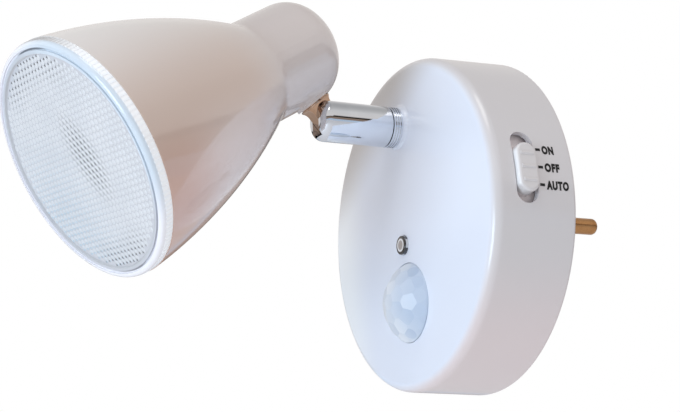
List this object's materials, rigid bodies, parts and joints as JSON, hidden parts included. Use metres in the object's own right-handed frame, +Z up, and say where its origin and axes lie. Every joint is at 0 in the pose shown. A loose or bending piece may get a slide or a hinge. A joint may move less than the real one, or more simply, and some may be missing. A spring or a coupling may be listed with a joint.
{
  "type": "plug-in night light",
  "caption": "Round wall housing on a two-pin plug, with a sensor dome, a slide switch and a short swivelling arm that carries a tilting bell-shaped spotlight head.",
  "frame": {"origin": "centre of the plug boss's end face, between the two pins", "axes": "+Z up, +Y out of the plug into the wall, the lamp looks along -Y, +X to the right seen from the front"},
  "size_m": [0.0822, 0.145, 0.0923],
  "materials": {
    "housing_plastic": "pale blue-white moulded housing, softly glossy",
    "cover_plastic": "pale moulded cover with a fine matt texture",
    "screw_steel": "zinc-plated steel",
    "brass": "bare brass, lightly polished",
    "sleeve_plastic": "moulded insulating sleeve",
    "dome_plastic": "milky translucent lens plastic",
    "board_laminate": "green solder mask on laminate",
    "sensor_can": "stamped tinned steel",
    "photocell": "clear moulded light sensor bead",
    "black_plastic": "black moulded plastic",
    "film_yellow": "yellow capacitor case",
    "capacitor_sleeve": "dark shrink sleeve on aluminium",
    "resistor_body": "pale green coated resistor",
    "lead_insulation": "white wire insulation",
    "chrome": "polished chrome plate",
    "knob_plastic": "pale grey moulded knob",
    "head_plastic": "glossy warm grey moulded shade",
    "lens_plastic": "clear lens plastic with a prism grid",
    "led_board_white": "white solder mask on aluminium",
    "led_package": "white LED package with yellow phosphor"
  },
  "bodies": {
    "base": {"front_housing": "housing_plastic", "rear_cover": "cover_plastic", "cover_screws": "screw_steel", "plug_pin_left": "brass", "plug_pin_right": "brass", "pin_sleeves": "sleeve_plastic", "pin_terminals": "brass", "pir_lens": "dome_plastic", "main_board": "board_laminate", "board_screws": "screw_steel", "pir_sensor": "sensor_can", "light_sensor": "photocell", "light_tube": "black_plastic", "slide_switch": "sensor_can", "film_capacitor": "film_yellow", "smoothing_capacitors": "capacitor_sleeve", "bridge_rectifier": "black_plastic", "control_chip": "black_plastic", "fuse_resistor": "resistor_body", "arm_leads": "lead_insulation", "swivel_collar": "chrome"},
    "switch": {"switch_knob": "knob_plastic", "switch_slider": "black_plastic"},
    "arm": {"arm_fork": "chrome", "pivot_screw": "screw_steel", "stem_washer": "screw_steel", "stem_nut": "screw_steel"},
    "head": {"head_shell": "head_plastic", "knuckle_tongue": "chrome", "tongue_washer": "screw_steel", "tongue_nut": "screw_steel", "lens_cap": "lens_plastic", "led_board": "led_board_white", "leds": "led_package", "led_screws": "screw_steel", "head_leads": "lead_insulation"}
  },
  "joints": [
    {"name": "arm_swivel", "type": "hinge", "parent": "base", "child": "arm", "pos_m": [0, -0.0308, 0.024], "axis": [0, 1, 0], "range_deg": [-170, 170]},
    {"name": "head_tilt", "type": "hinge", "parent": "arm", "child": "head", "pos_m": [0, -0.0482, 0.024], "axis": [1, 0, 0], "range_deg": [-30, 62]},
    {"name": "mode_switch", "type": "slide", "parent": "base", "child": "switch", "axis": [-0.0802, 0, 0.9968], "range_m": [-0.002, 0.002]}
  ]
}
